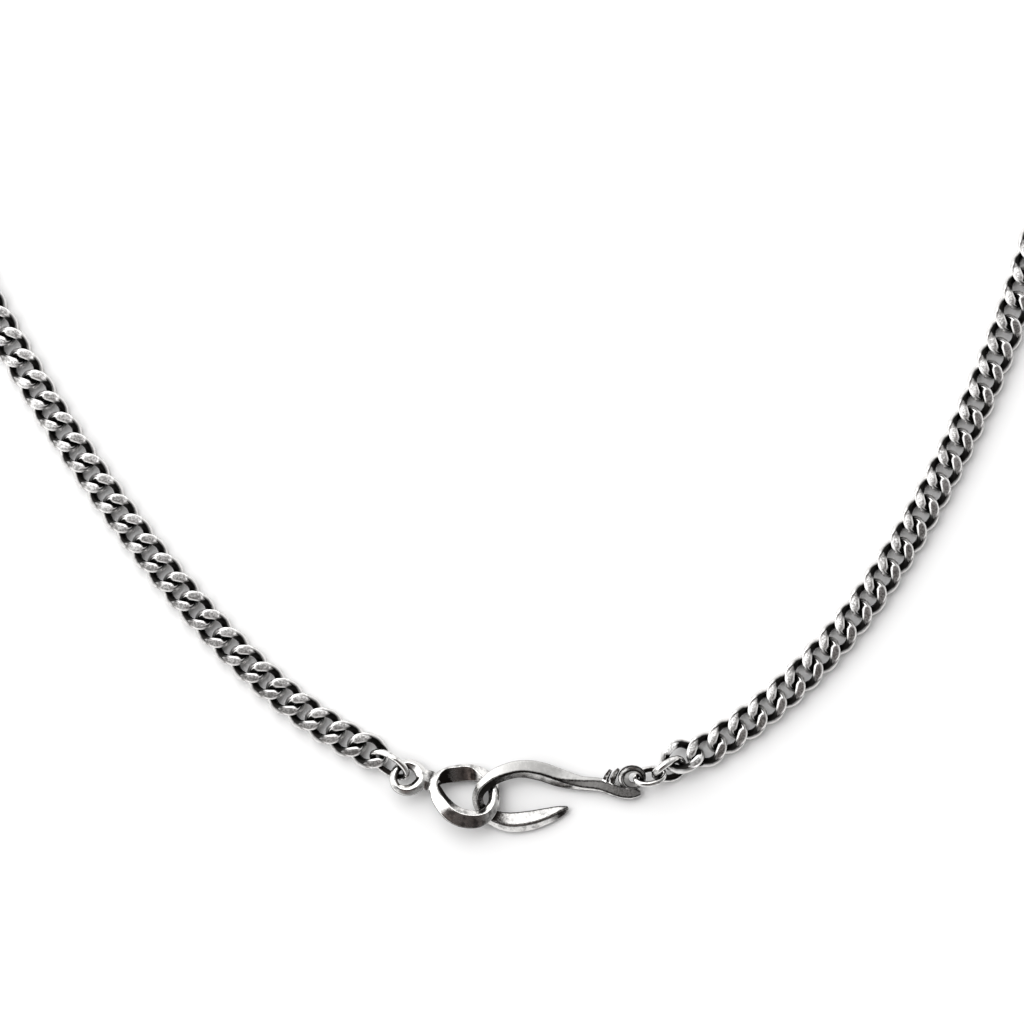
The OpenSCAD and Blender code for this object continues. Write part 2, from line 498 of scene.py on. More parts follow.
@dataclass(frozen=True)
class CurbLink:
    """A link of round wire with its two ends twisted, and flats ground on its top and its underside.

    Attributes:
        half_length: Half the length of the link, on the wire's middle line.
        half_width: Half its width, on the same line.
        wire: Diameter of the wire.
        twist: Degrees that each end is twisted by.
        thickness: Distance between the two ground planes.
        crown: Fall of a ground face for each millimetre that it reaches past crown_from.
        crown_from: Distance from the link's middle line, up to which the ground face stays level.
        rings: Number of sections round the link.
        flat_steps: Number of strips across a ground face, between its rims.
        side_steps: Number of strips on the round wire, between the rims of two ground faces.
        least_cut: Least half-angle of a flat, in degrees. Where it would be less, the wire counts as round.
        rim_flat: Width of the worn rim on the ground face.
        most_rim: The most of a narrow face that this takes, as a share.
        rim_turn: Width of the worn rim on the round wire, in degrees.
        flat_middle: Distance from the link's middle line to the middle of a ground face.
        flat_half: Half the extent of a ground face across the link.
        bow: Share of the face by which the rim widens towards the face's ends.
        corner_shade: Depth in millimetres that the mark under_top gains beside the face's ends, as painted
            shade.
        wear_to: Distance from the link's middle line at which that mark counts depth in full.
        least_wear: Share of the depth that it counts on the middle line.
        tip_highlight_to: Distance from the middle line below which a face's tip takes the rims' painted
            highlight.
        tip_highlight_fade: Distance over which it does.
    """

    half_length: float
    half_width: float = 1.85
    wire: float = 1.35
    twist: float = 48.0
    thickness: float = 2.1
    crown: float = 0.15
    crown_from: float = 0.7
    rings: int = 48
    flat_steps: int = 3
    side_steps: int = 4
    least_cut: float = 14.0
    rim_flat: float = 0.19
    most_rim: float = 0.3
    rim_turn: float = 13.0
    flat_middle: float = 1.07
    flat_half: float = 0.56
    bow: float = 0.18
    corner_shade: float = 0.25
    wear_to: float = 1.6
    least_wear: float = 0.15
    tip_highlight_to: float = 0.68
    tip_highlight_fade: float = 0.25

    def centre(self, t: float) -> Vec:
        """Return the middle of the wire.

        Args:
            t: The angle round the link, in radians.

        Returns:
            The point.
        """
        phi = -math.radians(self.twist) * math.cos(t)
        across = self.half_width * math.sin(t)
        return np.array([self.half_length * math.cos(t), across * math.cos(phi), across * math.sin(phi)])

    def cut(self, t: float) -> WireCut:
        """Return the cut through the wire, before anything is ground off.

        Args:
            t: The angle round the link, in radians.

        Returns:
            The cut.
        """
        along = unit(self.centre(t + SMALL_TURN) - self.centre(t - SMALL_TURN))
        side = unit(np.cross(UPRIGHT, along))
        return WireCut(self.centre(t), side, np.cross(along, side), self.wire / 2.0)

    def rim(self, cut: WireCut, edge: float, turn: float, far: float, off: float) -> tuple[Vec, Vec]:
        """Return one end of a ground face's section.

        Args:
            cut: The cut through the wire.
            edge: The angle at which the face meets the round wire.
            turn: The angle from there to the worn rim's outer side.
            far: The angle at which the face's other end meets the wire.
            off: How far the cut is from the middle of the face, from 0 to 1.

        Returns:
            The face's last point, and the middle of the worn rim.
        """
        corner, other = cut.point(edge), cut.point(far)
        share = min(self.rim_flat / np.linalg.norm(other - corner), self.most_rim) + self.bow * off**2
        inside = corner + (other - corner) * share
        return inside, (inside + 2.0 * corner + cut.point(edge + turn)) / 4.0

    def section(self, t: float) -> tuple[Vec, dict[str, Vec]]:
        """Return one section of the link.

        Args:
            t: The angle of the section round the link, in radians.

        Returns:
            Its points, and their marks: ground on the ground faces, rim on their worn edges and steep tips,
            where it paints a highlight, and in millimetres under_top, the depth under the polished plane as
            far as wear lets it count, deepened beside the faces' ends to paint shade there, and under_side,
            the distance in from the wire's outer side.
        """
        cut = self.cut(t)
        across, height = abs(cut.middle[1]), cut.middle[2]
        half = self.thickness / 2.0
        least, rim_turn = math.radians(self.least_cut), math.radians(self.rim_turn)
        off = min(abs(across - self.flat_middle) / self.flat_half, 1.0)
        reach = [math.acos(min((half - sign * height) / (cut.radius * cut.top[2]), 1.0)) for sign in (1, -1)]
        on_flat, on_side = self.flat_steps + 1, self.side_steps + 1
        points: list[Vec] = []
        ground: list[float] = []
        worn: list[float] = []
        off_flat: list[float] = []
        for n, sign in enumerate((1, -1)):
            is_cut = reach[n] > least
            start, end = [sign * math.pi / 2.0 + k * max(reach[n], least) for k in (-1, 1)]
            first, first_edge = self.rim(cut, start, -rim_turn, end, off)
            last, last_edge = self.rim(cut, end, rim_turn, start, off)
            strips = [first + (last - first) * k / self.flat_steps for k in range(on_flat)]
            for q in [first_edge, *strips, last_edge]:
                drop = self.crown * max(abs(q[1]) - self.crown_from, 0.0) if is_cut else 0.0
                points.append(q - np.array([0.0, 0.0, sign * drop]))
            next_start = (sign / 2.0 + 1.0) * math.pi - max(reach[1 - n], least)
            points += [cut.point(a) for a in np.linspace(end + rim_turn, next_start - rim_turn, on_side)]
            now, after = float(is_cut), float(reach[1 - n] > least)
            # Near the middle line a face's steep tip joins its worn rims in the mark rim, which paints a
            # highlight there.
            tip = now * min(max((self.tip_highlight_to - across) / self.tip_highlight_fade, 0.0), 1.0)
            edge, next_edge = [k * (1.0 - off**3) for k in (now, after)]
            ground += [0.0] + [now - tip] * on_flat + [0.0] + [0.0] * on_side
            worn += [edge] + [tip] * on_flat + [edge] * 2 + [0.0] * (on_side - 2) + [next_edge]
            off_flat += [1.0] + [0.0] * on_flat + [1.0] + [1.0] * on_side
        made = np.array(points)
        wear = np.clip(np.abs(made[:, 1]) / self.wear_to, self.least_wear, 1.0)
        # The depth added beside the faces' ends paints shade on the round wire there.
        under_top = (half - np.abs(made[:, 2])) * wear + self.corner_shade * off**3 * np.array(off_flat)
        under_side = cut.radius + (made - cut.middle) @ cut.side
        marks = {"ground": ground, "rim": worn, "under_top": under_top, "under_side": under_side}
        return made, {k: np.array(v) for k, v in marks.items()}

    def shape(self) -> Shape:
        """Return the link about its own middle."""
        points, marks = zip(*[self.section(2.0 * math.pi * i / self.rings) for i in range(self.rings)])
        return tube(np.array(points), True, {k: np.array([m[k] for m in marks]) for k in marks[0]})


class Wiring:
    """Adds nodes to a tree and joins them, so that a tree reads as a list of steps."""

    def __init__(self, tree: bpy.types.NodeTree) -> None:
        """Start on a tree."""
        self.tree = tree

    def add(self, kind: str, inputs: Inputs | None = None, **settings: Any) -> bpy.types.Node:
        """Add a node.

        Args:
            kind: The node's type.
            inputs: For each of its inputs, by name or number, a value or the output that feeds it.
            settings: Properties of the node, which are set first.

        Returns:
            The node.
        """
        node = self.tree.nodes.new(kind)
        for key, value in settings.items():
            setattr(node, key, value)
        for key, value in (inputs or {}).items():
            named = [s for s in node.inputs if s.enabled and s.name == key]
            socket = node.inputs[key] if isinstance(key, int) else named[0]
            if isinstance(value, Socket):
                self.tree.links.new(value, socket)
            else:
                socket.default_value = value
        return node

    def out(self, kind: str, inputs: Inputs | None = None, **settings: Any) -> Socket:
        """Add a node and return the first of its outputs that is in use."""
        return next(s for s in self.add(kind, inputs, **settings).outputs if s.enabled)

    def feed(self, node: bpy.types.Node, outputs: dict[str, Socket]) -> None:
        """Join outputs to a node's inputs, by the names of the inputs."""
        for name, output in outputs.items():
            self.tree.links.new(output, node.inputs[name])

    def mark(self, name: str) -> Socket:
        """Return a mark of the surface as a number."""
        return self.add("ShaderNodeAttribute", attribute_name=name).outputs["Fac"]

    def math(self, operation: str, a: Any, b: Any = 0.0) -> Socket:
        """Return a sum, product or the like of two numbers."""
        return self.out("ShaderNodeMath", {0: a, 1: b}, operation=operation)

    def ramp(self, value: Any, low: float, high: float, start: float = 0.0, end: float = 1.0) -> Socket:
        """Return a soft step from start, where value is low, to end, where it is high."""
        inputs = {"Value": value, "From Min": low, "From Max": high, "To Min": start, "To Max": end}
        return self.out("ShaderNodeMapRange", inputs, interpolation_type="SMOOTHSTEP")

    def mix(self, factor: Any, a: Any, b: Any) -> Socket:
        """Return a mix of two numbers."""
        return self.out("ShaderNodeMix", {0: factor, 2: a, 3: b}, data_type="FLOAT")

    def tint(self, factor: Any, a: Any, b: Any) -> Socket:
        """Return a mix of two colours."""
        a, b = [(*c, 1.0) if isinstance(c, tuple) else c for c in (a, b)]
        return self.out("ShaderNodeMix", {0: factor, 6: a, 7: b}, data_type="RGBA")

    def noise(self, where: Any, scale: float, detail: float = 2.0) -> Socket:
        """Return noise from 0 to 1."""
        return self.out("ShaderNodeTexNoise", {"Vector": where, "Scale": scale, "Detail": detail})

    def swayed(self, value: Any, noise: Any, sway: float) -> Socket:
        """Return a number with noise added, from minus sway to sway."""
        return self.math("ADD", value, self.ramp(noise, *NOISE_RANGE, -sway, sway))

    def bump(self, strength: Any, depth: float, height: Socket, **inputs: Socket) -> Socket:
        """Return the normal of a surface that is bumpy by a height, to a depth in millimetres."""
        given = {"Strength": strength, "Distance": depth * MM, "Height": height, **inputs}
        return self.out("ShaderNodeBump", given)


def new_material(name: str) -> tuple[bpy.types.Material, Wiring, bpy.types.Node]:
    """Return a plain new material.

    Args:
        name: Its name.

    Returns:
        The material, its tree's wiring and its shader.
    """
    made = bpy.data.materials.new(name)
    made.use_nodes = True
    return made, Wiring(made.node_tree), made.node_tree.nodes["Principled BSDF"]


@dataclass(frozen=True)
class OxidisedSilver:
    """Silver blackened all over, then ground flat and polished, so that the black stays in the hollows.

    The pairs shut_in, under_top and under_side each say where a mark of that name lets the black set in, and
    where it is full. Beside the ground faces' ends, under_top also paints shade on the round wire in this
    black.

    Attributes:
        silver: Colour of the worn rims and the faces' tips, light enough to paint their highlight.
        side: Colour of the polished round wire.
        ground: Colour of the ground faces' bright specks.
        ground_dark: Colour between the specks.
        oxide_and_shade: Colour of the black, which is tarnish, and painted shade beside the faces' ends.
        shut_in: From how shut in the surface is.
        under_top: From the depth under the polished plane, deepened beside the faces' ends as painted shade.
        under_side: From the distance in from the wire's outer side.
        sway: How far blotches shift the edge of the black.
        side_roughness: Roughness of the round wire.
        rim_roughness: Roughness of the rims.
        rim_metal: How metallic the rims are, low so that they show as a painted highlight. The rest is all
            metal.
        ground_roughness: Roughness of the ground faces.
        oxide_roughness: Roughness of the black.
        grain: Scale of the specks.
        grain_detail: Detail of the specks.
        speck: Grain at which the specks begin, and at which they are full.
        blotch: Scale of the blotches.
        bump: Strength of the grain's bumps on the ground faces.
        side_bump: Share of it on the rest.
        bump_depth: Depth of the bumps in millimetres.
    """

    silver: Colour = (0.95, 0.94, 0.925)
    side: Colour = (0.80, 0.79, 0.78)
    ground: Colour = (0.90, 0.895, 0.89)
    ground_dark: Colour = (0.34, 0.335, 0.33)
    oxide_and_shade: Colour = (0.010, 0.0095, 0.009)
    shut_in: Pair = (0.28, 0.55)
    under_top: Pair = (0.02, 0.16)
    under_side: Pair = (0.11, 0.62)
    sway: float = 0.05
    side_roughness: float = 0.34
    rim_roughness: float = 0.20
    rim_metal: float = 0.15
    ground_roughness: float = 0.32
    oxide_roughness: float = 0.46
    grain: float = 3700.0
    grain_detail: float = 3.0
    speck: Pair = (0.35, 0.68)
    blotch: float = 900.0
    bump: float = 0.22
    side_bump: float = 0.3
    bump_depth: float = 0.05

    def build(self) -> bpy.types.Material:
        """Make the finish.

        Returns:
            Its material.
        """
        made, w, shader = new_material("oxidised_silver")
        where = w.add("ShaderNodeTexCoord").outputs["Object"]
        grain = w.noise(where, self.grain, self.grain_detail)
        blotch = w.noise(where, self.blotch)
        ground, rim, tone = w.mark("ground"), w.mark("rim"), w.mark("tone")
        shut_in = w.ramp(w.swayed(w.mark("shut_in"), blotch, self.sway), *self.shut_in)
        under_top = w.ramp(w.mark("under_top"), *self.under_top)
        under_side = w.ramp(w.swayed(w.mark("under_side"), blotch, self.sway), *self.under_side)
        kept = w.math("MAXIMUM", shut_in, w.math("MINIMUM", under_top, under_side))
        oxide_and_shade = w.math("MULTIPLY", kept, w.math("SUBTRACT", 1.0, w.math("MAXIMUM", ground, rim)))
        speck = w.math("ADD", w.ramp(grain, *self.speck), tone)
        flat = w.tint(speck, self.ground_dark, self.ground)
        # The rims and tips take a light colour that is mostly not metal: a painted highlight on the worn
        # edges.
        bare = w.tint(rim, w.tint(ground, self.side, flat), self.silver)
        rough = w.mix(rim, w.mix(ground, self.side_roughness, self.ground_roughness), self.rim_roughness)
        strength = w.mix(ground, self.side_bump * self.bump, self.bump)
        w.feed(shader, {
            "Base Color": w.tint(oxide_and_shade, bare, self.oxide_and_shade),
            "Roughness": w.mix(oxide_and_shade, rough, self.oxide_roughness),
            "Metallic": w.mix(rim, 1.0, self.rim_metal),
            "Normal": w.bump(strength, self.bump_depth, grain),
        })
        return made


@dataclass(frozen=True)
class PolishedSilver:
    """Forged silver with polished bevels, a satin top, tarnish in its creases and painted shade on walls and
    faces.

    Attributes:
        silver: Colour of the polished bevels.
        cloudy: Their colour where the polish is clouded.
        satin: Colour of the satin faces.
        even: How satin they are at least, as a share.
        oxide_and_shade: Colour of the tarnish, and of the painted shade and dark reflections.
        shut_in: How shut in the surface is where the black sets in, and where it is full.
        patina: The same for the mark patina, which is partly tarnish and partly painted shade.
        sway: How far the grain shifts the edge of the black.
        roughness: Roughness of the polished bevels.
        satin_roughness: Roughness of the satin faces.
        oxide_roughness: Roughness of the patina.
        grain: Scale of the satin's grain.
        grain_detail: Detail of the grain.
        satin_grain: Grain at which the faces are least satin, and at which they are fully so.
        hammer: Scale of the hammer's blows.
        hammer_detail: Detail of the blows.
        cloud: Scale of the clouds.
        clouds: Noise at which the clouds begin, and at which they are full.
        bump: Strength of the grain's bumps on the satin faces.
        bevel_bump: Share of it on the rest.
        bump_depth: Depth of the grain's bumps in millimetres.
        hammer_bump: Strength of the hammer's blows.
        hammer_depth: Depth of the blows in millimetres.
    """

    silver: Colour = (0.79, 0.78, 0.765)
    cloudy: Colour = (0.31, 0.305, 0.30)
    satin: Colour = (0.48, 0.475, 0.465)
    even: float = 0.75
    oxide_and_shade: Colour = (0.014, 0.012, 0.011)
    shut_in: Pair = (0.19, 0.44)
    patina: Pair = (0.10, 0.90)
    sway: float = 0.11
    roughness: float = 0.10
    satin_roughness: float = 0.45
    oxide_roughness: float = 0.40
    grain: float = 4200.0
    grain_detail: float = 3.0
    satin_grain: Pair = (0.7, 0.35)
    hammer: float = 420.0
    hammer_detail: float = 1.0
    cloud: float = 1100.0
    clouds: Pair = (0.45, 0.72)
    bump: float = 0.16
    bevel_bump: float = 0.25
    bump_depth: float = 0.05
    hammer_bump: float = 0.25
    hammer_depth: float = 0.12

    def build(self) -> bpy.types.Material:
        """Make the finish.

        Returns:
            Its material.
        """
        made, w, shader = new_material("polished_silver")
        where = w.add("ShaderNodeTexCoord").outputs["Object"]
        grain = w.noise(where, self.grain, self.grain_detail)
        hammer = w.noise(where, self.hammer, self.hammer_detail)
        satin = w.mark("satin")
        shut_in = w.ramp(w.swayed(w.mark("shut_in"), grain, self.sway), *self.shut_in)
        # This mark is tarnish along the edges, and painted shade and dark reflection on walls and faces.
        patina = w.ramp(w.swayed(w.mark("patina"), grain, self.sway), *self.patina)
        oxide_and_shade = w.math("MAXIMUM", shut_in, patina)
        brushed = w.math("MULTIPLY", satin, w.ramp(grain, *self.satin_grain, self.even, 1.0))
        clouded = w.ramp(w.noise(where, self.cloud), *self.clouds)
        bare = w.tint(brushed, w.tint(clouded, self.silver, self.cloudy), self.satin)
        rough = w.mix(satin, self.roughness, self.satin_roughness)
        strength = w.mix(satin, self.bevel_bump * self.bump, self.bump)
        fine = w.bump(strength, self.bump_depth, grain)
        w.feed(shader, {
            "Base Color": w.tint(oxide_and_shade, bare, self.oxide_and_shade),
            "Roughness": w.mix(oxide_and_shade, rough, self.oxide_roughness),
            "Normal": w.bump(self.hammer_bump, self.hammer_depth, hammer, Normal=fine),
        })
        shader.inputs["Metallic"].default_value = 1.0
        return made


def new_piece(node: str) -> bpy.types.Object:
    """Return an object with an empty mesh, named after the CAD node that it will stand for."""
    name = f"silver_{node}"
    return in_scene(name, bpy.data.meshes.new(name))


def hand_over(piece: bpy.types.Object, mesh: bpy.types.Mesh, node: str) -> None:
    """Give a piece its finished mesh, and let it stand for its CAD node.

    Args:
        piece: The piece, at the origin and without modifiers.
        mesh: Its finished mesh.
        node: The CAD node's name.
    """
    old = piece.data
    piece.data = mesh
    bpy.data.meshes.remove(old)
    mesh.name = piece.name
    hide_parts(node)
    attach(piece, "root")
    log.info("%s: %d faces", piece.name, len(mesh.polygons))


@dataclass
class Chain:
    """The chain's links, each laid at its place on the route.

    Attributes:
        route: The way the chain takes.
        side_links: Number of links next to the clasp, on each side, that are pieces of their own.
        runs: Number of pieces that the other links are joined into.
        wire: Diameter of the wire.
        play: Room that a link's length leaves between the wires.
        wobble: The most that a link is turned off the route, in degrees.
        tone: The most that a link's ground faces are lighter or darker, as the finish adds it to its specks.
        seed: Seed of the wobble. The tone's is one more.
    """

    route: Route
    side_links: int = 20
    runs: int = 7
    wire: float = 1.35
    play: float = 0.08
    wobble: float = 0.8
    tone: float = 0.28
    seed: int = 8

    def link(self) -> CurbLink:
        """Return the link that the whole chain is made of."""
        return CurbLink(half_length=(self.route.pitch + self.wire + self.play) / 2.0, wire=self.wire)

    def spans(self) -> dict[str, range]:
        """Share the links out to the CAD nodes.

        The right side's own pieces are counted from the clasp too, which is from the route's end.

        Returns:
            The links of each node by its name, numbered along the route.
        """
        count = len(self.route.places)
        made = {}
        for i in range(1, 2 * self.side_links + 1):
            first = i - 1 if i <= self.side_links else count + self.side_links - i
            made[f"link_{i:02d}"] = range(first, first + 1)
        hidden = count - 2 * self.side_links
        starts = [self.side_links + round(i * hidden / self.runs) for i in range(self.runs + 1)]
        for i in range(self.runs):
            made[f"run_{i + 1}"] = range(starts[i], starts[i + 1])
        return made

    def in_place(self, number: int) -> Shape:
        """Return one link where it lies.

        Args:
            number: The link's number along the route, or a negative one from the route's end.

        Returns:
            The link, measured from the middle of the clasp.
        """
        p = self.route.places[number]
        link = self.link()
        return link.shape().placed(np.array([p.x, p.y, link.thickness / 2.0]), turning(p.heading, 0.0, 0.0))

    def tree(self) -> tuple[bpy.types.NodeTree, dict[str, str]]:
        """Build the tree that lays links on places.

        Returns:
            The tree, and the identifier of each of its inputs by name.
        """
        tree = bpy.data.node_groups.new("chain_links", "GeometryNodeTree")
        kinds = {
            "Places": "Geometry", "Link": "Object", "Lift": "Float", "Wobble": "Float", "Tone": "Float",
            "Seed": "Int", "Finish": "Material",
        }
        names = {}
        for name, kind in kinds.items():
            socket = tree.interface.new_socket(name, in_out="INPUT", socket_type=f"NodeSocket{kind}")
            names[name] = socket.identifier
        tree.interface.new_socket("Chain", in_out="OUTPUT", socket_type="NodeSocketGeometry")
        w = Wiring(tree)
        given = w.add("NodeGroupInput").outputs
        number = w.out("GeometryNodeInputNamedAttribute", {"Name": "number"}, data_type="INT")
        heading = w.out("GeometryNodeInputNamedAttribute", {"Name": "heading"}, data_type="FLOAT")

        def random(spread: Socket, seed: Socket) -> Socket:
            """Draw a random number for each link.

            Args:
                spread: How far the numbers spread either side of 0.
                seed: Their seed.

            Returns:
                The link's own number.
            """
            least = w.math("MULTIPLY", spread, -1.0)
            inputs = {"Min": least, "Max": spread, "ID": number, "Seed": seed}
            return w.out("FunctionNodeRandomValue", inputs, data_type="FLOAT")

        turn = w.math("ADD", heading, random(given["Wobble"], given["Seed"]))
        rotation = w.out("FunctionNodeEulerToRotation", {0: w.out("ShaderNodeCombineXYZ", {"Z": turn})})
        lift = w.out("ShaderNodeCombineXYZ", {"Z": given["Lift"]})
        lifted = w.out("GeometryNodeSetPosition", {"Geometry": given["Places"], "Offset": lift})
        info = w.add("GeometryNodeObjectInfo", {"Object": given["Link"], "As Instance": True})
        laying = {"Points": lifted, "Instance": info.outputs["Geometry"], "Rotation": rotation}
        laid = w.out("GeometryNodeInstanceOnPoints", laying)
        tone = random(given["Tone"], w.math("ADD", given["Seed"], 1.0))
        toned = w.out(
            "GeometryNodeStoreNamedAttribute", {"Geometry": laid, "Name": "tone", "Value": tone},
            data_type="FLOAT", domain="INSTANCE",
        )
        real = w.out("GeometryNodeRealizeInstances", {"Geometry": toned})
        dressed = w.out("GeometryNodeSetMaterial", {"Geometry": real, "Material": given["Finish"]})
        w.add("NodeGroupOutput", {"Chain": dressed})
        return tree, names

    def mark_places(self, mesh: bpy.types.Mesh, span: range) -> None:
        """Give an empty mesh a point for each link, with the link's heading and number.

        Args:
            mesh: The mesh.
            span: The links' numbers along the route.
        """
        places = [self.route.places[i] for i in span]
        flat = np.array([[p.x, p.y, 0.0] for p in places]) - self.route.middle()
        mesh.from_pydata((flat * MM).tolist(), [], [])
        headings = [math.radians(p.heading) for p in places]
        mesh.attributes.new("heading", "FLOAT", "POINT").data.foreach_set("value", headings)
        mesh.attributes.new("number", "INT", "POINT").data.foreach_set("value", list(span))

    def build(self, finish: bpy.types.Material, cavities: Cavities) -> None:
        """Make every piece of the chain.

        Args:
            finish: The chain's material.
            cavities: Marks where the links shut each other in.
        """
        shape = self.link().shape()
        steps = [np.array([k * self.route.pitch, 0.0, 0.0]) for k in (-2, -1, 1, 2)]
        cavities.mark(shape, [shape.placed(step) for step in steps])
        pattern = in_scene("link_shape", shape.mesh("link_shape", np.zeros(3)))
        tree, names = self.tree()
        values = {
            "Link": pattern, "Lift": self.link().thickness / 2.0 * MM, "Wobble": math.radians(self.wobble),
            "Tone": self.tone, "Seed": self.seed, "Finish": finish,
        }
        for node, span in self.spans().items():
            piece = new_piece(node)
            self.mark_places(piece.data, span)
            modifier = piece.modifiers.new("links", "NODES")
            modifier.node_group = tree
            for key, value in values.items():
                modifier[names[key]] = value
            made = evaluated_mesh(piece)
            piece.modifiers.remove(modifier)
            hand_over(piece, made, node)
        discard(pattern)


@dataclass(frozen=True)
class LooseRing:
    """A ring or link that hangs in others, with its own place and lean.

    Attributes:
        at: Its middle.
        yaw: Degrees that it is turned about Z.
        pitch: Degrees that it leans about Y.
        roll: Degrees that it leans about X.
        link: Its shape.
        bright_to: Share of the wire, from its outer side, that stays bright.
        fade: Share of the wire over which it turns dark.
    """

    at: Triple
    yaw: float
    pitch: float
    roll: float
    link: CurbLink
    bright_to: float = 0.46
    fade: float = 0.25

    def shape(self) -> Shape:
        """Return the ring in place.

        Returns:
            The ring, marked dark on the inner side of its wire.
        """
        made = self.link.shape().placed(np.array(self.at), turning(self.yaw, self.pitch, self.roll))
        inwards = made.marks["under_side"] / self.link.wire
        made.marks["patina"] = np.clip((inwards - self.bright_to) / self.fade, 0.0, 1.0)
        return made


class BarRow(NamedTuple):
    """A section of a forged bar, with a bevel on each side of its ridge or flat top.

    The near bevel is on the left of the bar's direction, and the far one on its right. A face is satin, or
    dark with painted shade and dark reflection, from 0 to 1.

    Attributes:
        x: The section's middle along X.
        y: Its middle along Y.
        z: Its middle along Z.
        width: Its width.
        thickness: Its thickness.
        near: The near bevel's share of the width.
        near_drop: Share of the thickness that it falls by.
        far: The far bevel's share of the width.
        far_drop: Share of the thickness that it falls by.
        satin: How satin the flat and the far bevel are.
        near_satin: How satin the near bevel is.
        near_dark: How dark it is.
        flat_dark: How dark the flat is.
        far_dark: How dark the far bevel is.
    """

    x: float
    y: float
    z: float
    width: float
    thickness: float
    near: float = 0.36
    near_drop: float = 0.36
    far: float = 0.36
    far_drop: float = 0.36
    satin: float = 0.0
    near_satin: float = 0.0
    near_dark: float = 0.0
    flat_dark: float = 0.0
    far_dark: float = 0.0


def past_edge(before: float, after: float) -> list[float]:
    """Return a mark on the five points of an edge, which changes just past the edge's middle."""
    return [before] * 3 + [after] * 2


def on_edge(before: float, edge: float, after: float, shares: Pair) -> list[float]:
    """Return a mark on the five points of an edge, with shares of its own number beside its middle."""
    return [before, max(before, shares[0] * edge), edge, max(after, shares[1] * edge), after]


@dataclass(frozen=True)
class ForgedBar:
    """A bar forged to a changing section, with softened edges.

    Attributes:
        rows: The sections that it goes through.
        up: The way that its top faces.
        closed: Whether it is a ring.
        steps: Number of sections made from each row to the next.
        under: Shares of the width and the thickness that the two bevels under it take.
        softening: Distance from a corner to each side of its softened edge.
        most_softening: The most of a face that one softened edge takes, as a share.
        support: Distance from a softened edge to the points that keep the face flat.
        most_support: The most of a face that both take together, as a share.
        wall: How dark the walls and the underside are, as painted shade.
        ridge: How dark the edges of the flat are.
        near_edge: How dark the near bevel's outer edge is at least.
        near_edge_reach: Shares of that edge's darkness on the points before and after its middle.
        near_ridge_reach: The same for the near edge of the flat.
        far_ridge_reach: The same for its far edge.
    """

    rows: tuple[BarRow, ...]
    up: Triple
    closed: bool
    steps: int = 7
    under: Pair = (0.25, 0.30)
    softening: float = 0.11
    most_softening: float = 0.2
    support: float = 0.16
    most_support: float = 0.42
    wall: float = 0.75
    ridge: float = 0.85
    near_edge: float = 0.0
    near_edge_reach: Pair = (1.0, 0.6)
    near_ridge_reach: Pair = (0.8, 0.8)
    far_ridge_reach: Pair = (0.8, 0.6)

    @staticmethod
    def sheen(row: BarRow) -> list[float]:
        """Return how satin each point of the four upper edges is, from the near wall to the far one."""
        faces = [0.0, row.near_satin, row.satin, row.satin, 0.0]
        return [mark for before, after in zip(faces, faces[1:]) for mark in past_edge(before, after)]

    def patina(self, row: BarRow) -> list[float]:
        """Return how dark each point of a section's four upper edges is, from the near wall to the far one.

        Args:
            row: The section.

        Returns:
            Five numbers for each edge.
        """
        # Dark edges stand for tarnish; dark walls, underside and faces are painted shade and dark
        # reflection.
        near, flat, far = row.near_dark, row.flat_dark, row.far_dark
        made = on_edge(self.wall, max(near, self.near_edge), near, self.near_edge_reach)
        made += on_edge(near, self.ridge, flat, self.near_ridge_reach)
        made += on_edge(flat, self.ridge, far, self.far_ridge_reach)
        return made + past_edge(far, self.wall)

    def outline(self, row: BarRow) -> list[Vec]:
        """Return one section's outline, across the bar and up.

        Args:
            row: The section.

        Returns:
            Five points for each corner, from the near wall's upper one over the top and round underneath.
        """
        x, y = row.width / 2.0, row.thickness / 2.0
        across, rise = self.under[0] * row.width, self.under[1] * row.thickness
        corners = np.array([
            (x, y - row.near_drop * row.thickness), (x - row.near * row.width, y),
            (row.far * row.width - x, y), (-x, y - row.far_drop * row.thickness),
            (-x, rise - y), (across - x, -y), (x - across, -y), (x, rise - y),
        ])
        points = []
        for i, corner in enumerate(corners):
            ends = []
            for other in (corners[i - 1], corners[(i + 1) % len(corners)]):
                way = other - corner
                length = np.linalg.norm(way)
                softened = min(self.softening / length, self.most_softening)
                supported = min((self.softening + self.support) / length, self.most_support)
                ends.append((corner + way * softened, corner + way * supported))
            (into, before), (out_of, after) = ends
            points += [before, into, (into + 2.0 * corner + out_of) / 4.0, out_of, after]
        return points

    def shape(self) -> Shape:
        """Build the bar.

        Returns:
            The bar as one closed shell, marked satin, and dark with tarnish and painted shade.
        """
        rows = smooth(np.array(self.rows), self.steps, self.closed)
        n = len(rows)
        sections, sheens, patinas_and_shades = [], [], []
        for i, row in enumerate(rows):
            before = rows[i - 1] if self.closed else rows[max(i - 1, 0)]
            after = rows[(i + 1) % n] if self.closed else rows[min(i + 1, n - 1)]
            along = unit(after[:3] - before[:3])
            side = unit(np.cross(self.up, along))
            face = np.cross(along, side)
            given = BarRow(*row)
            points, sheen, patina = self.outline(given), self.sheen(given), self.patina(given)
            below = len(points) - len(sheen)
            sections.append([row[:3] + q[0] * side + q[1] * face for q in points])
            sheens.append(sheen + [0.0] * below)
            patinas_and_shades.append(patina + [self.wall] * below)
        marks = {"satin": np.array(sheens), "patina": np.array(patinas_and_shades)}
        return tube(np.array(sections), self.closed, marks)


